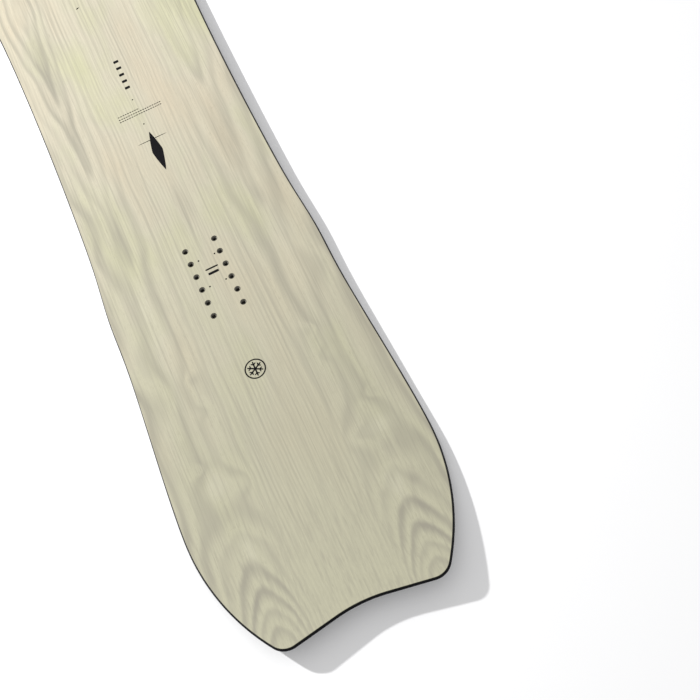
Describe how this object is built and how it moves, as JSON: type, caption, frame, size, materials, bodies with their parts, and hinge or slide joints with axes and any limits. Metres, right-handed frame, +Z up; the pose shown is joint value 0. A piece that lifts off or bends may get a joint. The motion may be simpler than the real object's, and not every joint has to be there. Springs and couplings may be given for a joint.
{
  "type": "snowboard",
  "caption": "Directional snowboard without bindings: cambered laminate with raised nose and notched tail, wood veneer deck, black sidewalls and threaded binding inserts.",
  "frame": {"origin": "on the floor under the middle of the board's box; the base touches z = 0 at its two contact lines", "axes": "+X across the board to the right as seen looking from tail to nose, +Y towards the nose, +Z up out of the deck"},
  "size_m": [0.32, 1.59, 0.0564],
  "materials": {
    "ash_veneer": "pale ash veneer under a thin matte clear coat",
    "sidewall_plastic": "planed black sidewall plastic",
    "edge_steel": "ground steel",
    "base_polyethylene": "waxed and stone-ground running base",
    "damping_rubber": "thin rubber foil",
    "glass_laminate": "resin-bonded glass cloth",
    "dark_laminate": "glass cloth in black-pigmented resin",
    "retention_laminate": "pressed glass and resin strip",
    "dense_core_wood": "planed poplar",
    "light_core_wood": "planed paulownia",
    "insert_steel": "stainless steel, turned"
  },
  "bodies": {
    "root": {"base": "base_polyethylene", "left_steel_edge": "edge_steel", "left_damping_strip": "damping_rubber", "right_steel_edge": "edge_steel", "right_damping_strip": "damping_rubber", "nose_edge_strip": "sidewall_plastic", "nose_damping_strip": "damping_rubber", "tail_edge_strip": "sidewall_plastic", "tail_damping_strip": "damping_rubber", "bottom_fibreglass": "glass_laminate", "top_fibreglass": "dark_laminate", "left_sidewall": "sidewall_plastic", "right_sidewall": "sidewall_plastic", "nose_tip_fill": "sidewall_plastic", "tail_tip_fill": "sidewall_plastic", "front_retention_strip": "retention_laminate", "rear_retention_strip": "retention_laminate", "core_strip_1": "dense_core_wood", "core_strip_2": "light_core_wood", "core_strip_3": "light_core_wood", "core_strip_4": "dense_core_wood", "core_strip_5": "light_core_wood", "core_strip_6": "light_core_wood", "core_strip_7": "dense_core_wood", "core_strip_8": "light_core_wood", "core_strip_9": "dense_core_wood", "core_strip_10": "light_core_wood", "core_strip_11": "light_core_wood", "core_strip_12": "dense_core_wood", "core_strip_13": "light_core_wood", "core_strip_14": "light_core_wood", "core_strip_15": "dense_core_wood", "front_inserts": "insert_steel", "rear_inserts": "insert_steel", "left_veneer_leaf": "ash_veneer", "right_veneer_leaf": "ash_veneer"}
  },
  "joints": []
}
